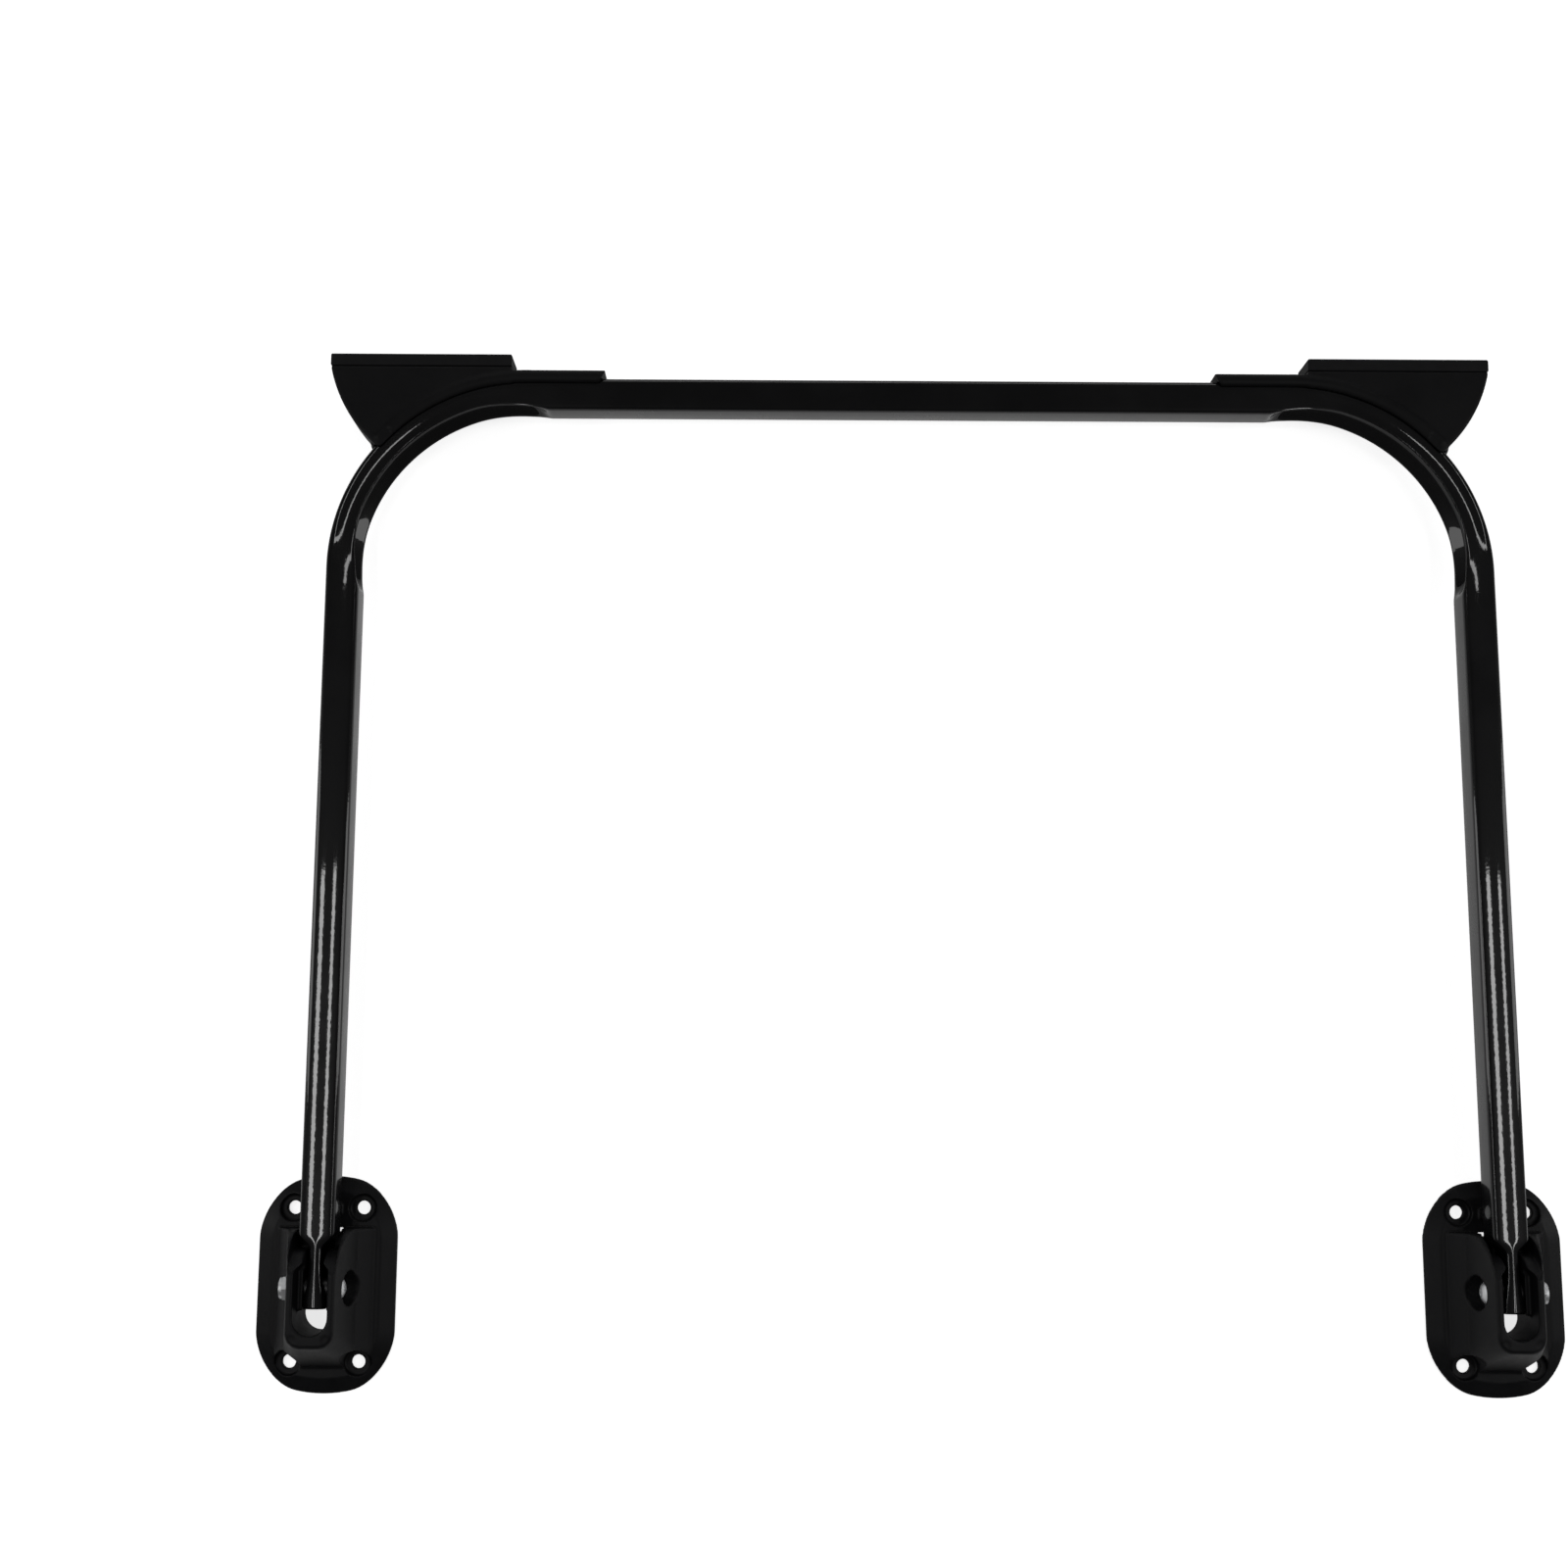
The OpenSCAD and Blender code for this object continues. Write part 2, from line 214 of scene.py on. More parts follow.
def squeeze_end(co):
    """Draws a leg's end in to its neck and opens it again to the cut end."""
    if co.y > NECK_TOP:
        return co
    taper = smooth_step(NECK_BOTTOM, NECK_TOP, co.y)
    flare = smooth_step(NECK_STRAIGHT, leg_end_y, co.y)
    half = NECK_HALF + (END_HALF - NECK_HALF) * flare
    across = (co.x - leg_x) / (TUBE / 2)
    height = (co.z - pin_z) / (TUBE / 2)
    dent = SIDE_DENT * (1 - flare) * (1 - height ** 2) * (1 - taper)
    wanted = max(half - dent, 1 * MM)
    crown = NECK_CROWN * (1 - taper) * height * across ** 2
    return Vector((leg_x + across * (TUBE / 2 * taper + wanted * (1 - taper)), co.y, co.z - crown))


tube = bmesh.new()
ring = rounded_ring(tube, TUBE, TUBE, TUBE_CORNER, 6, 11)
bmesh.ops.translate(tube, verts=tube.verts[:], vec=(0, bar_y, pin_z))
ring = push(tube, ring, ((bend_x - 20 * MM) / 4, 0, 0), 4)
ring = push(tube, ring, (1 * MM, 0, 0), 20)
ring = turn_bend(tube, ring, math.pi / 2, 90)
ring = push(tube, ring, (0, -1 * MM, 0), 20)
leg_run = bend_y - 20 * MM - 36 * MM
ring = push(tube, ring, (0, -leg_run / 6, 0), 6)
ring = push(tube, ring, (0, -(36 * MM - leg_end_y) / 40, 0), 40)
for v in tube.verts:
    v.co = squeeze_end(press_bend(crown_faces(v.co)))
bmesh.ops.mirror(tube, geom=tube.verts[:] + tube.edges[:] + tube.faces[:], matrix=Matrix.Identity(4),
                 merge_dist=1e-6, axis="X")
bmesh.ops.recalc_face_normals(tube, faces=tube.faces[:])
for f in tube.faces:
    f.smooth = True

# Gloss black powder paint: a wet-looking skin that draws crisp long highlights,
# with a fine orange peel from the cured powder and a few duller, handled patches.
paint, tree, shader, place = new_material(
    "gloss_black_powder_paint", Base_Color=srgb("#070708"), Roughness=0.3, IOR=1.5, Specular_IOR_Level=0.08,
    Coat_Weight=0.8, Coat_Roughness=0.035, Coat_IOR=1.5)
PEEL = 2.4 * MM
HANDLED = 40 * MM
peel = add_node(tree, "ShaderNodeTexNoise", {"Vector": place, "Scale": 1 / PEEL, "Detail": 2.0,
                                             "Roughness": 0.45})
handled = add_node(tree, "ShaderNodeTexNoise", {"Vector": place, "Scale": 1 / HANDLED, "Detail": 5.0,
                                                "Roughness": 0.6})
dull = add_node(tree, "ShaderNodeMapRange", {"Value": handled.outputs["Fac"], "From Min": 0.35,
                                             "From Max": 0.75,
                                             "To Min": 0.24, "To Max": 0.42})
tint = add_node(tree, "ShaderNodeValToRGB", {"Fac": handled.outputs["Fac"]})
tint.color_ramp.elements[0].position = 0.4
tint.color_ramp.elements[0].color = srgb("#060607")
tint.color_ramp.elements[1].position = 0.8
tint.color_ramp.elements[1].color = srgb("#0d0d0e")
skin = add_node(tree, "ShaderNodeBump", {"Height": peel.outputs["Fac"], "Strength": 0.3,
                                         "Distance": 0.03 * MM})
tree.links.new(tint.outputs["Color"], shader.inputs["Base Color"])
tree.links.new(dull.outputs["Result"], shader.inputs["Roughness"])
tree.links.new(skin.outputs["Normal"], shader.inputs["Normal"])
tree.links.new(skin.outputs["Normal"], shader.inputs["Coat Normal"])

tube_piece = new_piece("bent_tube", tube, paint, "tube_paint", "frame", "frame_tube")
wall = tube_piece.modifiers.new("wall", "SOLIDIFY")
wall.thickness = TUBE_WALL
wall.offset = -1
bake_modifiers(tube_piece)


# ---------------------------------------------------------------------- feet
# Each foot is one moulding in black glass-filled nylon: a domed plate with four
# screw holes and a tall housing with a slot for the leg. Soft mould edges all
# round, ejector marks on the front rim, flats sunk round the screw holes.

PLATE_W = 82 * MM
PLATE_L = 126 * MM
PLATE_EDGE = 3 * MM
PLATE_CROWN = 7 * MM
PLATE_SLOPE = 9 * MM
PLATE_CORNER = 25 * MM
PLATE_END_R = 75 * MM
FRONT_Z = 46 * MM
RIM_STEP = 1.2 * MM
FRONT_HALF = 13.5 * MM
BASE_HALF = 33.4 * MM
FLANK_HALF = 21 * MM
FLANK_Z = 18 * MM
HOUSING_LOW = -50 * MM
HOUSING_LOW_FRONT = -31.5 * MM
HOUSING_TOP = 33 * MM
HOLE_X = 20.5 * MM
HOLE_Y = 44.5 * MM
HOLE_R = 4 * MM
SPOT_R = 8 * MM
SPOT_Z = 3.6 * MM
SLOT_HALF = 10 * MM
SLOT_LOW = -25 * MM
SLOT_WIDE_TOP = 11.5 * MM
THROAT_HALF = 6 * MM
CHEEK_HALF = 7 * MM
CHEEK_TOP = 34 * MM
CHEEK_LOW = -12 * MM
UNDER_HALF = 20 * MM
UNDER_LOW = -35 * MM
UNDER_TOP = 10 * MM
SHOULDER_R = 22 * MM
RECESS_R = 10 * MM
SEAT_X = 12 * MM
BORE_R = 4.1 * MM
foot_top = 60 * MM


def block(bm, low, high):
    """A box between two corners. Returns its vertices."""
    verts = bmesh.ops.create_cube(bm, size=1)["verts"]
    size = Vector(high) - Vector(low)
    bmesh.ops.scale(bm, verts=verts, vec=size)
    bmesh.ops.translate(bm, verts=verts, vec=(Vector(low) + Vector(high)) / 2)
    return verts


def rod(bm, centre, radius, length, axis="Z", segments=48):
    """A solid cylinder centred on a point. Returns its vertices."""
    verts = bmesh.ops.create_cone(bm, cap_ends=True, segments=segments, radius1=radius, radius2=radius,
                                  depth=length)["verts"]
    if axis == "X":
        bmesh.ops.rotate(bm, verts=verts, cent=(0, 0, 0), matrix=Matrix.Rotation(math.pi / 2, 3, "Y"))
    if axis == "Y":
        bmesh.ops.rotate(bm, verts=verts, cent=(0, 0, 0), matrix=Matrix.Rotation(math.pi / 2, 3, "X"))
    bmesh.ops.translate(bm, verts=verts, vec=centre)
    return verts


def rounded_slab(bm, half_x, low_y, high_y, z, corner, segments=8):
    """A flat face with rounded corners, to be raised. Returns the face."""
    before = set(bm.faces)
    verts = bmesh.ops.create_grid(bm, x_segments=1, y_segments=1, size=0.5)["verts"]
    bmesh.ops.scale(bm, verts=verts, vec=(2 * half_x, high_y - low_y, 1))
    bmesh.ops.translate(bm, verts=verts, vec=(0, (low_y + high_y) / 2, z))
    bmesh.ops.bevel(bm, geom=verts, offset=corner, offset_type="OFFSET", affect="VERTICES",
                    segments=segments, profile=0.5, material=-1)
    return next(f for f in bm.faces if f not in before)


def raise_face(bm, face, height):
    """Extrudes a flat face up into a slab. Returns the face on top."""
    made = bmesh.ops.extrude_face_region(bm, geom=[face], use_keep_orig=True)["geom"]
    top = next(g for g in made if isinstance(g, bmesh.types.BMFace))
    bmesh.ops.translate(bm, verts=top.verts[:], vec=(0, 0, height))
    return top


def trim(bm, point, normal):
    """Cuts off everything on the far side of a plane and closes the cut."""
    bmesh.ops.bisect_plane(bm, geom=bm.verts[:] + bm.edges[:] + bm.faces[:], dist=1e-7, plane_co=point,
                           plane_no=normal, clear_outer=True)
    bmesh.ops.holes_fill(bm, edges=[e for e in bm.edges if e.is_boundary], sides=0)


def spare_solid(name, bm):
    """A loose object for a boolean, with its faces turned outwards."""
    bmesh.ops.recalc_face_normals(bm, faces=bm.faces[:])
    mesh = bpy.data.meshes.new(name)
    bm.to_mesh(mesh)
    bm.free()
    solid = bpy.data.objects.new(name, mesh)
    bpy.context.scene.collection.objects.link(solid)
    return solid


def mould(name, solids, cuts, voxel, relax):
    """Joins solids, cuts others away, and softens every edge as a mould does. Returns a new bmesh."""
    work = spare_solid(name, solids[0])
    spares = [work]
    for kind, group in (("UNION", solids[1:]), ("DIFFERENCE", cuts)):
        for bm in group:
            other = spare_solid(name, bm)
            spares.append(other)
            step = work.modifiers.new("step", "BOOLEAN")
            step.operation = kind
            step.object = other
            step.solver = "EXACT"
            step.use_self = True
    shell = work.modifiers.new("shell", "REMESH")
    shell.mode = "VOXEL"
    shell.voxel_size = voxel
    soften = work.modifiers.new("soften", "SMOOTH")
    soften.factor = 0.5
    soften.iterations = relax
    bake_modifiers(work)
    bm = bmesh.new()
    bm.from_mesh(work.data)
    for spare in spares:
        bpy.data.objects.remove(spare)
    for f in bm.faces:
        f.smooth = True
    return bm


def foot_solids():
    """The foot's plate, housing, front rim and leg rest, centred on its own pivot."""
    plate = bmesh.new()
    base = rounded_slab(plate, PLATE_W / 2, -PLATE_L / 2, PLATE_L / 2, 0, PLATE_CORNER, 16)
    bmesh.ops.subdivide_edges(plate, edges=[e for e in plate.edges if e.calc_length() > 10 * MM], cuts=12)
    base = plate.faces[:][0]
    for v in plate.verts:
        v.co.y -= math.copysign(v.co.x ** 2 / (2 * PLATE_END_R) * smooth_step(0, PLATE_L / 3, abs(v.co.y)),
                                v.co.y)
    top = raise_face(plate, base, PLATE_EDGE)
    bmesh.ops.inset_region(plate, faces=[top], thickness=PLATE_SLOPE, depth=PLATE_CROWN - PLATE_EDGE,
                           use_even_offset=True)

    housing = bmesh.new()
    corners = block(housing, (-BASE_HALF, HOUSING_LOW, 0), (BASE_HALF, HOUSING_TOP, FRONT_Z - RIM_STEP))
    for v in corners:
        if v.co.z > FRONT_Z / 2:
            v.co.x = math.copysign(FRONT_HALF + 0.6 * MM, v.co.x)
            if v.co.y < 0:
                v.co.y = HOUSING_LOW_FRONT - 0.8 * MM
    # Flanks stand steep above this height and spread below it
    bmesh.ops.bisect_plane(housing, geom=housing.verts[:] + housing.edges[:] + housing.faces[:], dist=1e-7,
                           plane_co=(0, 0, FLANK_Z), plane_no=(0, 0, 1))
    for v in housing.verts:
        if abs(v.co.z - FLANK_Z) < 1e-6:
            v.co.x = math.copysign(FLANK_HALF, v.co.x)
    back = [e for e in housing.edges if all(v.co.y > 0 and v.co.z > FRONT_Z / 2 for v in e.verts)]
    bmesh.ops.bevel(housing, geom=back, offset=24 * MM, offset_type="OFFSET", affect="EDGES", segments=16,
                    profile=0.5, material=-1)
    lower = [e for e in housing.edges if all(v.co.y < 0 for v in e.verts)
             and abs(e.verts[0].co.z - e.verts[1].co.z) > 10 * MM]
    bmesh.ops.bevel(housing, geom=lower, offset=9 * MM, offset_type="OFFSET", affect="EDGES", segments=8,
                    profile=0.5, material=-1)

    rim = bmesh.new()
    face = rounded_slab(rim, FRONT_HALF, HOUSING_LOW_FRONT, 18 * MM, FRONT_Z - 3 * MM, 9 * MM)
    raise_face(rim, face, 3 * MM)

    rest = bmesh.new()
    block(rest, (-8 * MM, HOLE_Y - 3.5 * MM, 1 * MM), (8 * MM, HOLE_Y + 2.5 * MM,
                                                       pin_z - TUBE / 2 - 0.2 * MM))
    return [plate, housing, rim, rest]


def foot_cuts():
    """What is cut from the foot: the leg's slot and swing, the screw holes and the pivot's recesses."""
    def one(build, *args, **kwargs):
        bm = bmesh.new()
        build(bm, *args, **kwargs)
        return bm

    round_y = SLOT_LOW + SLOT_HALF
    cuts = [one(rod, (0, round_y, CHEEK_TOP + 20 * MM), SLOT_HALF, 40 * MM, segments=64),
            one(block, (-SLOT_HALF, round_y, CHEEK_TOP), (SLOT_HALF, SLOT_WIDE_TOP, foot_top)),
            one(block, (-THROAT_HALF, 0, CHEEK_TOP), (THROAT_HALF, PLATE_L / 2, foot_top)),
            one(block, (-CHEEK_HALF, CHEEK_LOW - 1 * MM, PLATE_CROWN - 1 * MM),
                (CHEEK_HALF, SLOT_WIDE_TOP, foot_top)),
            one(block, (-THROAT_HALF, 0, PLATE_CROWN - 1 * MM),
                (THROAT_HALF, PLATE_L / 2 - 28 * MM, foot_top)),
            one(block, (-10 * MM, 30.6 * MM, -5 * MM), (10 * MM, 33 * MM, foot_top)),
            one(block, (-UNDER_HALF, UNDER_LOW, -5 * MM), (UNDER_HALF, CHEEK_LOW - 1.5 * MM, UNDER_TOP))]
    # Half-moon opening below the cheeks, right through the foot
    moon = one(rod, (0, round_y, 20 * MM), SLOT_HALF, 90 * MM, segments=64)
    trim(moon, (0, CHEEK_LOW, 0), (0, 1, 0))
    cuts.append(moon)
    # The slot narrows to its throat
    lead = bmesh.new()
    funnel = block(lead, (-SLOT_HALF, SLOT_WIDE_TOP - 0.2 * MM, CHEEK_TOP),
                   (SLOT_HALF, SLOT_WIDE_TOP + 4 * MM, foot_top))
    for v in funnel:
        if v.co.y > SLOT_WIDE_TOP + 2 * MM:
            v.co.x = math.copysign(THROAT_HALF, v.co.x)
    cuts.append(lead)

    # The full-width tube sweeps this arc as the leg swings up
    sweep = bmesh.new()
    sector = bmesh.ops.create_grid(sweep, x_segments=1, y_segments=1, size=0.5)["verts"]
    bmesh.ops.scale(sweep, verts=sector, vec=(2 * FRONT_HALF + 1 * MM, 40 * MM, 1))
    bmesh.ops.translate(sweep, verts=sector, vec=(0, SHOULDER_R + 20 * MM, pin_z))
    bmesh.ops.spin(sweep, geom=sweep.faces[:] + sweep.edges[:] + sweep.verts[:], cent=(0, 0, pin_z),
                   axis=(1, 0, 0),
                   angle=math.radians(100), steps=40)
    cuts.append(sweep)
    cuts.append(one(block, (-FRONT_HALF, SHOULDER_R, pin_z - TUBE / 2 - 0.4 * MM),
                    (FRONT_HALF, PLATE_L / 2, foot_top)))
    for x in (-HOLE_X, HOLE_X):
        for y in (-HOLE_Y, HOLE_Y):
            cuts.append(one(rod, (x, y, 0), HOLE_R, 40 * MM))
            cuts.append(one(rod, (x, y, SPOT_Z + 30 * MM), SPOT_R, 60 * MM))
    for side in (-1, 1):
        cuts.append(one(rod, (side * (SEAT_X + 20 * MM), 0, pin_z), RECESS_R, 40 * MM, "X", 64))
        for y in (-27 * MM, 12.5 * MM):
            x = FRONT_HALF - 3.6 * MM if y < 0 else FRONT_HALF - 3.2 * MM
            cuts.append(one(rod, (side * x, y, FRONT_Z + 4.7 * MM), 2.6 * MM, 10 * MM))
    cuts.append(one(rod, (0, 0, pin_z), BORE_R, 50 * MM, "X"))
    return cuts


FOOT_VOXEL = 0.7 * MM
foot_shape = mould("foot_work", foot_solids(), foot_cuts(), FOOT_VOXEL, 3)

# Black glass-filled nylon, moulded: satin, with a fine spark-eroded grain and
# faint grey flow marks where the glass comes near the surface.
nylon, tree, shader, place = new_material(
    "moulded_glass_filled_nylon", Base_Color=srgb("#101011"), Roughness=0.46, IOR=1.53,
    Specular_IOR_Level=0.14)
GRAIN = 0.5 * MM
grain = add_node(tree, "ShaderNodeTexNoise", {"Vector": place, "Scale": 1 / GRAIN, "Detail": 3.0,
                                              "Roughness": 0.6})
flow = add_node(tree, "ShaderNodeTexNoise", {"Vector": place, "Scale": 1 / (14 * MM), "Detail": 6.0,
                                             "Roughness": 0.65,
                                             "Distortion": 0.8})
tone = add_node(tree, "ShaderNodeValToRGB", {"Fac": flow.outputs["Fac"]})
tone.color_ramp.elements[0].position = 0.35
tone.color_ramp.elements[0].color = srgb("#0d0d0e")
tone.color_ramp.elements[1].position = 0.75
tone.color_ramp.elements[1].color = srgb("#141416")
sheen = add_node(tree, "ShaderNodeMapRange", {"Value": flow.outputs["Fac"], "From Min": 0.3,
                                              "From Max": 0.7,
                                              "To Min": 0.4, "To Max": 0.52})
skin = add_node(tree, "ShaderNodeBump", {"Height": grain.outputs["Fac"], "Strength": 0.5,
                                         "Distance": 0.05 * MM})
tree.links.new(tone.outputs["Color"], shader.inputs["Base Color"])
tree.links.new(sheen.outputs["Result"], shader.inputs["Roughness"])
tree.links.new(skin.outputs["Normal"], shader.inputs["Normal"])

for name, side in (("left", -1), ("right", 1)):
    bm = foot_shape.copy()
    bmesh.ops.translate(bm, verts=bm.verts[:], vec=(side * leg_x, 0, 0))
    new_piece(f"{name}_moulded_foot", bm, nylon, "foot_plastic", "feet", f"{name}_foot")
foot_shape.free()


# ------------------------------------------------------------- corner blocks
# A black polypropylene moulding clipped over each upper corner: a saddle wraps
# the outside of the tube, ends in a rounded tongue, and carries a flat web that
# squares the bend off under the pad. Two screws hold it from behind.

block_low, block_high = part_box("right_corner_block")
pad_low, pad_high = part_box("right_rest_pad")
BLOCK_HALF = (block_high[2] - block_low[2]) / 2
LIP_IN = 6.4 * MM
SADDLE_OUT = 14.9 * MM
SADDLE_ROUND = 3.2 * MM
TONGUE_IN = 8.8 * MM
TONGUE_ROUND = 2.6 * MM
WEB_HALF = 11.9 * MM
WEB_BEVEL = 1.2 * MM
EDGE_R = 91 * MM
EDGE_IN = 89.2 * MM
EDGE_UP = 18.1 * MM
LIP_ANGLE = math.radians(44)
TONGUE_ANGLE = math.radians(48)
NOSE_ANGLE = math.radians(3.6)
NOSE_STEPS = 6
CHANNEL_SLANT = 4 * MM
TUBE_PLAY = 0.3 * MM
PAD_THICK = 8 * MM
web_top_y = pad_high[1] - PAD_THICK


def swept_section(inner, outer, half, corner, start_x, angle, slant=0.0, nose=0.0):
    """A rounded section swept round the outside of the tube, from start_x on the crossbar into the bend."""
    bm = bmesh.new()
    ring = rounded_ring(bm, outer - inner, 2 * half, corner, 5, 3)
    bmesh.ops.translate(bm, verts=bm.verts[:], vec=(start_x, bar_y + (inner + outer) / 2, pin_z))
    for v in bm.verts:
        v.co.x -= slant * (v.co.y - bar_y - inner) / (outer - inner)
    bmesh.ops.holes_fill(bm, edges=ring, sides=0)
    ring = push(bm, ring, (1 * MM, 0, 0), 1)
    for v in {v for e in ring for v in e.verts}:
        v.co.x = bend_x
    ring = turn_bend(bm, ring, angle, 40)
    # A rounded end: each step is a little smaller than the one before
    for step in range(NOSE_STEPS if nose else 0):
        ring = turn_bend(bm, ring, nose / NOSE_STEPS, 1)
        rim = list({v for e in ring for v in e.verts})
        middle = sum((v.co for v in rim), Vector()) / len(rim)
        before = math.sqrt(1 - (step / (NOSE_STEPS + 0.2)) ** 2)
        shrink = math.sqrt(1 - ((step + 1) / (NOSE_STEPS + 0.2)) ** 2) / before
        bmesh.ops.scale(bm, verts=rim, vec=(shrink, shrink, shrink), space=Matrix.Translation(-middle))
    bmesh.ops.holes_fill(bm, edges=ring, sides=0)
    return bm


def block_solids():
    """The right block's web, saddle and tongue."""
    web = bmesh.new()
    rod(web, (block_high[0] - EDGE_IN, web_top_y + EDGE_UP, pin_z), EDGE_R, 2 * WEB_HALF, segments=160)
    trim(web, (0, web_top_y, 0), (0, 1, 0))
    trim(web, (pad_low[0], 0, 0), (-1, 0, 0))
    trim(web, (0, block_low[1], 0), (0, -1, 0))
    faces = [e for e in web.edges if abs(e.verts[0].co.z - e.verts[1].co.z) < MM * 0.01
             and min(v.co.y for v in e.verts) < web_top_y - MM]
    bmesh.ops.bevel(web, geom=faces, offset=WEB_BEVEL, offset_type="OFFSET", affect="EDGES", segments=3,
                    profile=0.5, material=-1)
    saddle = swept_section(LIP_IN, SADDLE_OUT, BLOCK_HALF, SADDLE_ROUND, block_low[0] + CHANNEL_SLANT,
                           LIP_ANGLE, CHANNEL_SLANT)
    tongue = swept_section(TONGUE_IN, SADDLE_OUT, BLOCK_HALF - 0.3 * MM, TONGUE_ROUND, bend_x - 2 * MM,
                           TONGUE_ANGLE, 0, NOSE_ANGLE)
    return [web, saddle, tongue]


def block_cuts():
    """The room for the tube, and everything inside the saddle's lip."""
    inside = swept_section(-90 * MM, LIP_IN, 50 * MM, 0.5 * MM, 0, math.radians(89))
    tube_room = swept_section(-90 * MM, TUBE / 2 + TUBE_PLAY, TUBE / 2 + TUBE_PLAY, 1.5 * MM, 0,
                              math.radians(89))
    return [inside, tube_room]


BLOCK_VOXEL = 0.75 * MM
block_shape = mould("block_work", block_solids(), block_cuts(), BLOCK_VOXEL, 3)

# Black polypropylene, moulded: even satin face with a fine eroded grain, a touch
# greyer where it has been rubbed.
polyprop, tree, shader, place = new_material(
    "moulded_black_polypropylene", Base_Color=srgb("#0f0f10"), Roughness=0.5, IOR=1.49,
    Specular_IOR_Level=0.14)
FACE_GRAIN = 0.6 * MM
RUBBED = 30 * MM
grain = add_node(tree, "ShaderNodeTexNoise", {"Vector": place, "Scale": 1 / FACE_GRAIN, "Detail": 3.0,
                                              "Roughness": 0.6})
rubbed = add_node(tree, "ShaderNodeTexNoise", {"Vector": place, "Scale": 1 / RUBBED, "Detail": 5.0,
                                               "Roughness": 0.6})
tone = add_node(tree, "ShaderNodeValToRGB", {"Fac": rubbed.outputs["Fac"]})
tone.color_ramp.elements[0].position = 0.35
tone.color_ramp.elements[0].color = srgb("#0c0c0d")
tone.color_ramp.elements[1].position = 0.75
tone.color_ramp.elements[1].color = srgb("#121213")
gloss = add_node(tree, "ShaderNodeMapRange", {"Value": rubbed.outputs["Fac"], "From Min": 0.3,
                                              "From Max": 0.7,
                                              "To Min": 0.44, "To Max": 0.56})
skin = add_node(tree, "ShaderNodeBump", {"Height": grain.outputs["Fac"], "Strength": 0.4,
                                         "Distance": 0.05 * MM})
tree.links.new(tone.outputs["Color"], shader.inputs["Base Color"])
tree.links.new(gloss.outputs["Result"], shader.inputs["Roughness"])
tree.links.new(skin.outputs["Normal"], shader.inputs["Normal"])


def mirrored(bm):
    """The left-hand copy of a right-hand shape, turned outwards again."""
    twin = bm.copy()
    bmesh.ops.scale(twin, verts=twin.verts[:], vec=(-1, 1, 1))
    bmesh.ops.reverse_faces(twin, faces=twin.faces[:])
    return twin


new_piece("left_saddle_block", mirrored(block_shape), polyprop, "block_plastic", "frame",
          "left_corner_block")
new_piece("right_saddle_block", block_shape, polyprop, "block_plastic", "frame", "right_corner_block")


# ----------------------------------------------------------------- rest pads
# A flat strip of black rubber along the top of each block, pressed on by two
# studs, with eased edges that leave a fine dark line where it meets the block.

PAD_HALF = 12.2 * MM
PAD_EASE = 1 * MM
pad_shape = bmesh.new()
block(pad_shape, (pad_low[0], web_top_y + 0.25 * MM, pin_z - PAD_HALF),
      (pad_high[0], pad_high[1], pin_z + PAD_HALF))
bmesh.ops.bevel(pad_shape, geom=pad_shape.edges[:], offset=PAD_EASE, offset_type="OFFSET", affect="EDGES",
                segments=4, profile=0.5, material=-1)
for f in pad_shape.faces:
    f.smooth = f.calc_area() < 30 * MM * MM * 4

# Black rubber, moulded: duller and a shade greyer than the block, slightly cloudy.
rubber, tree, shader, place = new_material(
    "moulded_black_rubber", Base_Color=srgb("#141415"), Roughness=0.62, IOR=1.52, Specular_IOR_Level=0.14)
CLOUD = 12 * MM
RUBBER_GRAIN = 0.7 * MM
cloud = add_node(tree, "ShaderNodeTexNoise", {"Vector": place, "Scale": 1 / CLOUD, "Detail": 6.0,
                                              "Roughness": 0.65})
grain = add_node(tree, "ShaderNodeTexNoise", {"Vector": place, "Scale": 1 / RUBBER_GRAIN, "Detail": 2.0,
                                              "Roughness": 0.5})
tone = add_node(tree, "ShaderNodeValToRGB", {"Fac": cloud.outputs["Fac"]})
tone.color_ramp.elements[0].position = 0.35
tone.color_ramp.elements[0].color = srgb("#111112")
tone.color_ramp.elements[1].position = 0.72
tone.color_ramp.elements[1].color = srgb("#181819")
skin = add_node(tree, "ShaderNodeBump", {"Height": grain.outputs["Fac"], "Strength": 0.5,
                                         "Distance": 0.06 * MM})
tree.links.new(tone.outputs["Color"], shader.inputs["Base Color"])
tree.links.new(skin.outputs["Normal"], shader.inputs["Normal"])

new_piece("left_rubber_pad", mirrored(pad_shape), rubber, "pad_rubber", "frame", "left_rest_pad")
new_piece("right_rubber_pad", pad_shape, rubber, "pad_rubber", "frame", "right_rest_pad")


# ------------------------------------------------------------ pivot hardware
# Each leg turns on one M8 button-head bolt of stainless steel, put in from the
# inner flank. The bolts are turned and broached; washers, lock nuts, sleeves and
# block screws are the CAD's own solids with their real finishes.

BOLT_R = 4 * MM
BOLT_L = 34 * MM
HEAD_R = 7 * MM
HEAD_H = 4.4 * MM
HEAD_RIM = 0.8 * MM
SOCKET_R = 2.9 * MM
SOCKET_DEEP = 2.6 * MM


def turned(bm, profile, segments):
    """A solid turned about Z from a profile of (radius, height) points that starts and ends on the axis."""
    line = [bm.verts.new((r, 0, z)) for r, z in profile]
    edges = [bm.edges.new(pair) for pair in zip(line, line[1:])]
    bmesh.ops.spin(bm, geom=line + edges, cent=(0, 0, 0), axis=(0, 0, 1), angle=2 * math.pi, steps=segments,
                   use_merge=True)
    bmesh.ops.remove_doubles(bm, verts=bm.verts[:], dist=1e-7)
    return bm


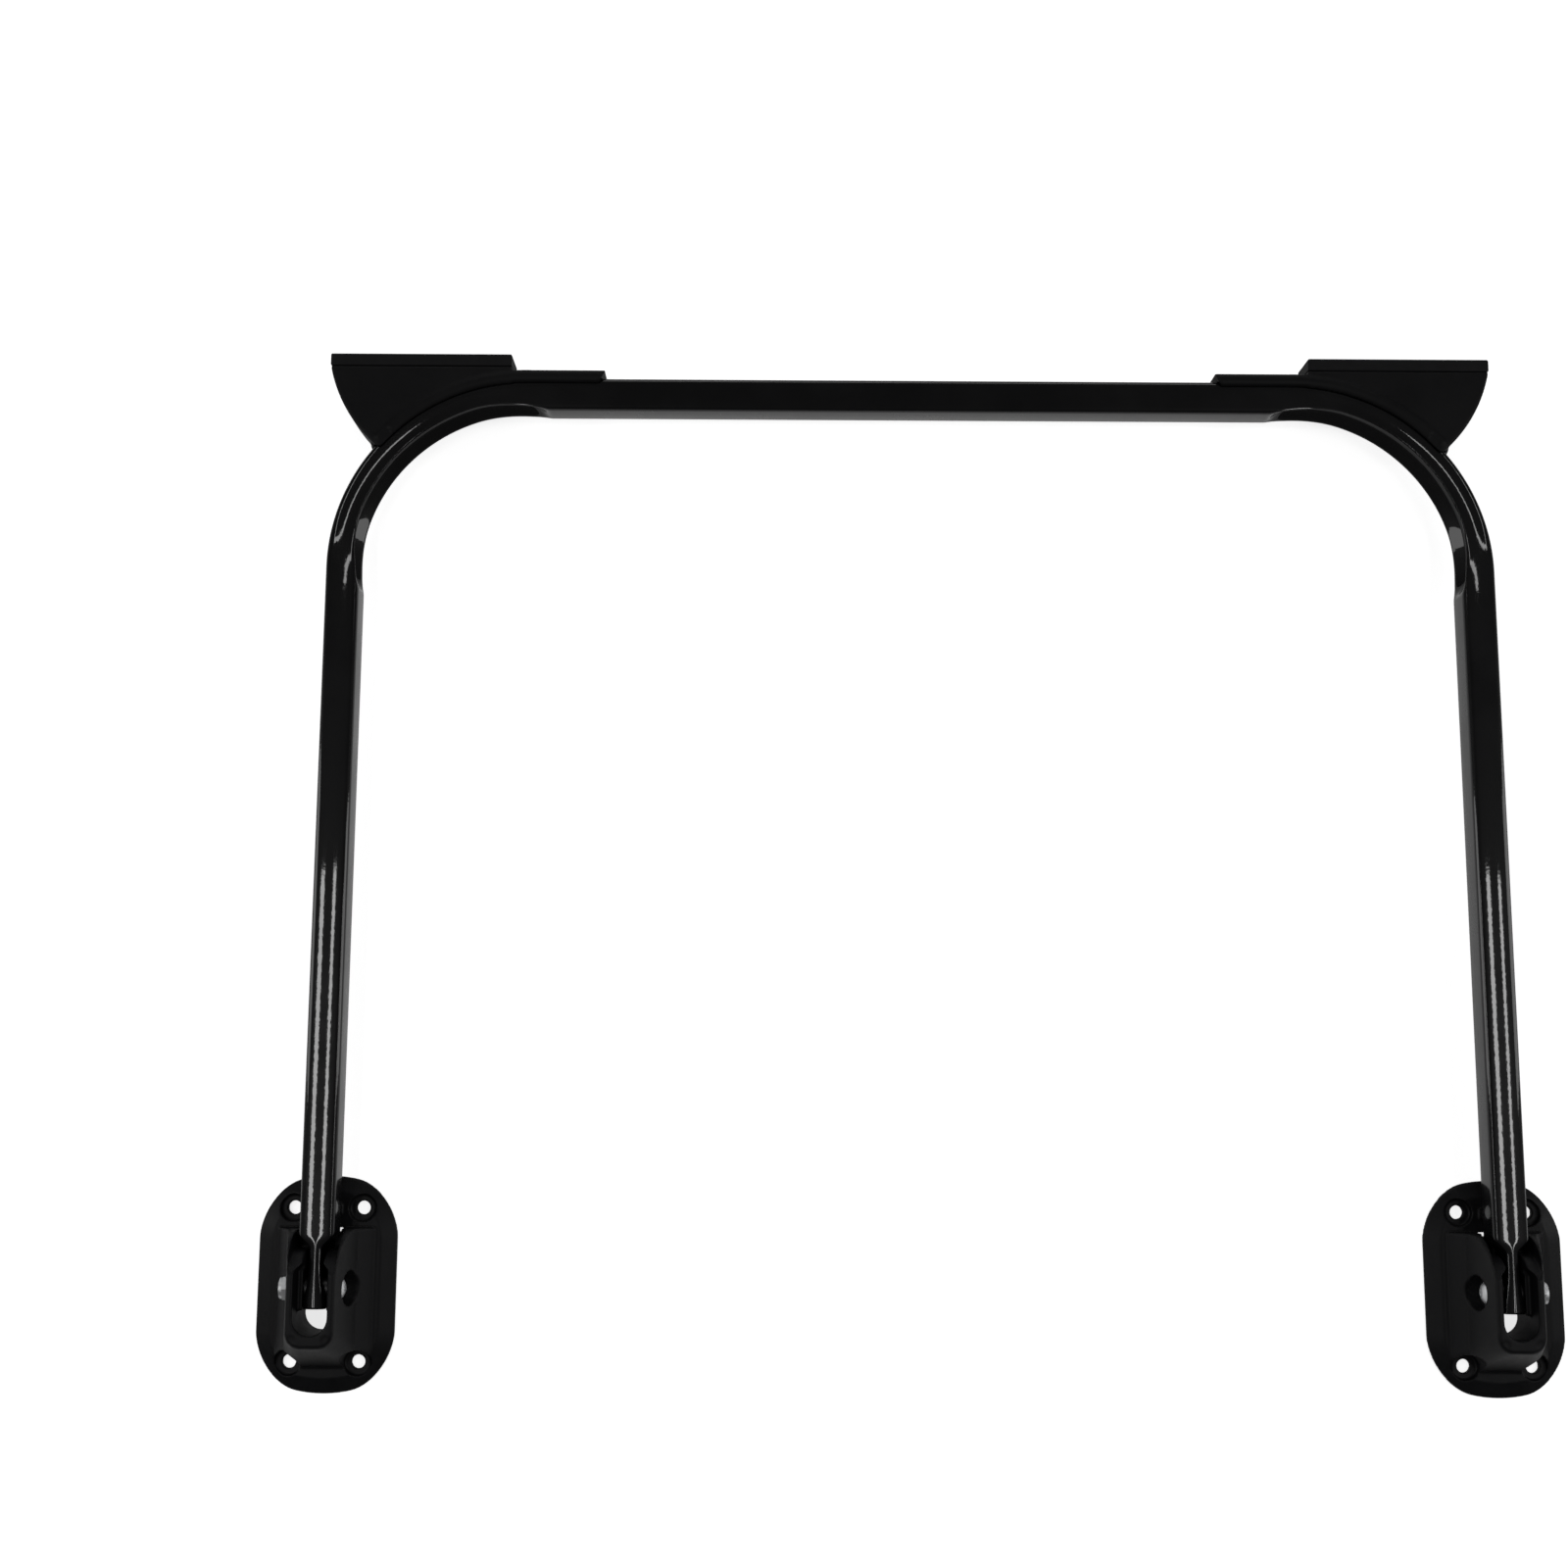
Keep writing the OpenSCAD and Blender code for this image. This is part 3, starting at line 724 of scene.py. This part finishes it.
def bolt_shape():
    """The bolt standing on its tip, head up, with the seat of the head at height zero."""
    dome_r = (HEAD_R ** 2 + (HEAD_H - HEAD_RIM) ** 2) / (2 * (HEAD_H - HEAD_RIM))
    lean = math.asin(HEAD_R / dome_r)
    dome = [(dome_r * math.sin(lean * k / 16),
             HEAD_H - dome_r + dome_r * math.cos(lean * k / 16)) for k in range(17)]
    profile = dome + [(HEAD_R, 0.15 * MM), (HEAD_R - 0.15 * MM, 0), (BOLT_R, 0),
                      (BOLT_R, -BOLT_L + 0.8 * MM),
                      (BOLT_R - 0.8 * MM, -BOLT_L), (0, -BOLT_L)]
    shank = turned(bmesh.new(), profile, 64)
    socket = bmesh.new()
    rod(socket, (0, 0, HEAD_H), SOCKET_R, 2 * SOCKET_DEEP, segments=6)
    work = spare_solid("bolt_work", shank)
    drive = spare_solid("bolt_work", socket)
    step = work.modifiers.new("socket", "BOOLEAN")
    step.operation = "DIFFERENCE"
    step.object = drive
    step.solver = "EXACT"
    bake_modifiers(work)
    bm = bmesh.new()
    bm.from_mesh(work.data)
    bpy.data.objects.remove(work)
    bpy.data.objects.remove(drive)
    for f in bm.faces:
        f.smooth = True
    for e in bm.edges:
        e.smooth = len(e.link_faces) == 2 and e.calc_face_angle(0) < math.radians(35)
    return bm


# Stainless steel, turned and tumbled: bright, with fine rings about the bolt's
# axis and a few tool marks.
steel, tree, shader, place = new_material("turned_stainless_steel", Base_Color=srgb("#e6e7e8"),
                                          Metallic=1.0,
                                          Roughness=0.45)
RING = 0.7 * MM
scratch = add_node(tree, "ShaderNodeTexNoise", {"Vector": place, "Scale": 1 / RING, "Detail": 4.0,
                                                "Roughness": 0.7})
wear = add_node(tree, "ShaderNodeMapRange", {"Value": scratch.outputs["Fac"], "From Min": 0.3,
                                             "From Max": 0.7,
                                             "To Min": 0.38, "To Max": 0.6})
skin = add_node(tree, "ShaderNodeBump", {"Height": scratch.outputs["Fac"], "Strength": 0.3,
                                         "Distance": 0.03 * MM})
tree.links.new(wear.outputs["Result"], shader.inputs["Roughness"])
tree.links.new(skin.outputs["Normal"], shader.inputs["Normal"])

# Zinc-plated steel of the block screws: greyer than the stainless, with a cloudy
# passivated skin.
zinc, tree, shader, place = new_material("zinc_plated_steel", Base_Color=srgb("#a9aaad"), Metallic=1.0,
                                         Roughness=0.42)
BLOOM = 1.5 * MM
bloom = add_node(tree, "ShaderNodeTexNoise", {"Vector": place, "Scale": 1 / BLOOM, "Detail": 4.0,
                                              "Roughness": 0.6})
tone = add_node(tree, "ShaderNodeValToRGB", {"Fac": bloom.outputs["Fac"]})
tone.color_ramp.elements[0].color = srgb("#8f9194")
tone.color_ramp.elements[1].color = srgb("#bcbdbf")
tree.links.new(tone.outputs["Color"], shader.inputs["Base Color"])

# Black nylon of the sleeves and nut inserts: machined smooth, faintly waxy.
sleeve_nylon, tree, shader, place = new_material("turned_black_nylon", Base_Color=srgb("#131314"),
                                                 Roughness=0.4,
                                                 IOR=1.53)
TURNING = 0.4 * MM
turning = add_node(tree, "ShaderNodeTexNoise", {"Vector": place, "Scale": 1 / TURNING, "Detail": 2.0})
skin = add_node(tree, "ShaderNodeBump", {"Height": turning.outputs["Fac"], "Strength": 0.3,
                                         "Distance": 0.02 * MM})
tree.links.new(skin.outputs["Normal"], shader.inputs["Normal"])

bolt = bolt_shape()
SEAT_OUT = SEAT_X - 0.01 * MM
for name, side in (("left", -1), ("right", 1)):
    bm = bolt.copy()
    # Heads face each other across the frame
    bmesh.ops.rotate(bm, verts=bm.verts[:], cent=(0, 0, 0),
                     matrix=Matrix.Rotation(-side * math.pi / 2, 3, "Y"))
    bmesh.ops.translate(bm, verts=bm.verts[:], vec=(side * (leg_x - SEAT_OUT), 0, pin_z))
    new_piece(f"{name}_button_bolt", bm, steel, "bolt_steel", "feet", f"{name}_pivot_bolt")
    for node, finish in ((f"{name}_nut_washer", steel), (f"{name}_lock_nut", steel),
                         (f"{name}_nut_insert", sleeve_nylon), (f"{name}_pivot_sleeve", sleeve_nylon),
                         (f"{name}_block_screws", zinc)):
        for holder in bpy.data.objects[node].material_slots:
            holder.material = finish
bolt.free()


# ------------------------------------------------------------------- studio
# A lit white table under the object, soft lights low at both sides, and narrow
# lamps overhead that draw long highlights down the legs and through the bends.

CAMERA_AT = (-80.8 * MM, 122.6 * MM, 1199 * MM)
CAMERA_PITCH = -0.1485
CAMERA_YAW = 0.0033
CAMERA_ROLL = -0.0046
LENS = 45
SENSOR = 36
camera_data = bpy.data.cameras.new("camera")
camera_data.lens = LENS
camera_data.sensor_width = SENSOR
camera = bpy.data.objects.new("camera", camera_data)
bpy.context.scene.collection.objects.link(camera)
turn = (Matrix.Rotation(CAMERA_ROLL, 3, "Z") @ Matrix.Rotation(CAMERA_PITCH, 3, "X")
        @ Matrix.Rotation(CAMERA_YAW, 3, "Y"))
camera.matrix_world = Matrix.Translation(CAMERA_AT) @ turn.transposed().to_4x4()
bpy.context.scene.camera = camera
bpy.context.scene.view_settings.view_transform = "Standard"

floor_bm = bmesh.new()
FLOOR_HALF = 8
bmesh.ops.create_grid(floor_bm, x_segments=1, y_segments=1, size=FLOOR_HALF)
floor_mesh = bpy.data.meshes.new("floor")
floor_bm.to_mesh(floor_mesh)
floor_bm.free()
floor = bpy.data.objects.new("floor", floor_mesh)
FLOOR_DROP = 0.2 * MM
floor.location.z = -FLOOR_DROP
bpy.context.scene.collection.objects.link(floor)
card, tree, shader, place = new_material("white_card", Base_Color=srgb("#f0f0f0"), Roughness=0.9,
                                         Emission_Color=(1, 1, 1, 1))
# The card glows to the eye and is grey in reflections, so black parts stay black
SEEN_GLOW = 0.78
MIRRORED_GLOW = 0.2
ray = add_node(tree, "ShaderNodeLightPath")
glow = add_node(tree, "ShaderNodeMapRange", {"Value": ray.outputs["Is Camera Ray"], "To Min": MIRRORED_GLOW,
                                             "To Max": SEEN_GLOW})
tree.links.new(glow.outputs["Result"], shader.inputs["Emission Strength"])
floor_mesh.materials.append(card)

ROOM_LIGHT = 0.08
world = bpy.data.worlds.new("studio")
bpy.context.scene.world = world
world.use_nodes = True
world.node_tree.nodes["Background"].inputs["Color"].default_value = (1, 1, 1, 1)
world.node_tree.nodes["Background"].inputs["Strength"].default_value = ROOM_LIGHT


def softbox(name, at, aim, size_x, size_y, power):
    """A rectangular soft light."""
    data = bpy.data.lights.new(name, "AREA")
    data.shape = "RECTANGLE"
    data.size = size_x
    data.size_y = size_y
    data.energy = power
    lamp = bpy.data.objects.new(name, data)
    bpy.context.scene.collection.objects.link(lamp)
    lamp.location = at
    lamp.rotation_euler = (Vector(aim) - Vector(at)).to_track_quat("-Z", "Y").to_euler()


softbox("left_light", (-2.4, 0.4, 1.3), (0, 0.25, 0), 0.6, 2.5, 13)
softbox("right_light", (2.4, 0.4, 1.3), (0, 0.25, 0), 0.6, 2.5, 13)
softbox("back_light", (0, 2.8, 1.5), (0, 0.25, 0), 2.5, 0.5, 12)

# Lamps over the camera, where the legs' front faces mirror them
LAMP_Z = 2.0
for name, x, y in (("left", -0.795, 0.0), ("right", 1.072, 0.0)):
    softbox(f"{name}_leg_lamp_outer", (x - 0.145, y, LAMP_Z), (x - 0.145, y, 0), 0.08, 0.9, 2.4)
    softbox(f"{name}_leg_lamp_inner", (x + 0.105, y, LAMP_Z), (x + 0.105, y, 0), 0.06, 0.9, 1.8)
for name, x in (("left", -0.72), ("right", 1.0)):
    softbox(f"{name}_bend_lamp", (x, 1.07, LAMP_Z), (x, 1.07, 0), 0.05, 0.3, 0.35)

bpy.context.view_layer.update()
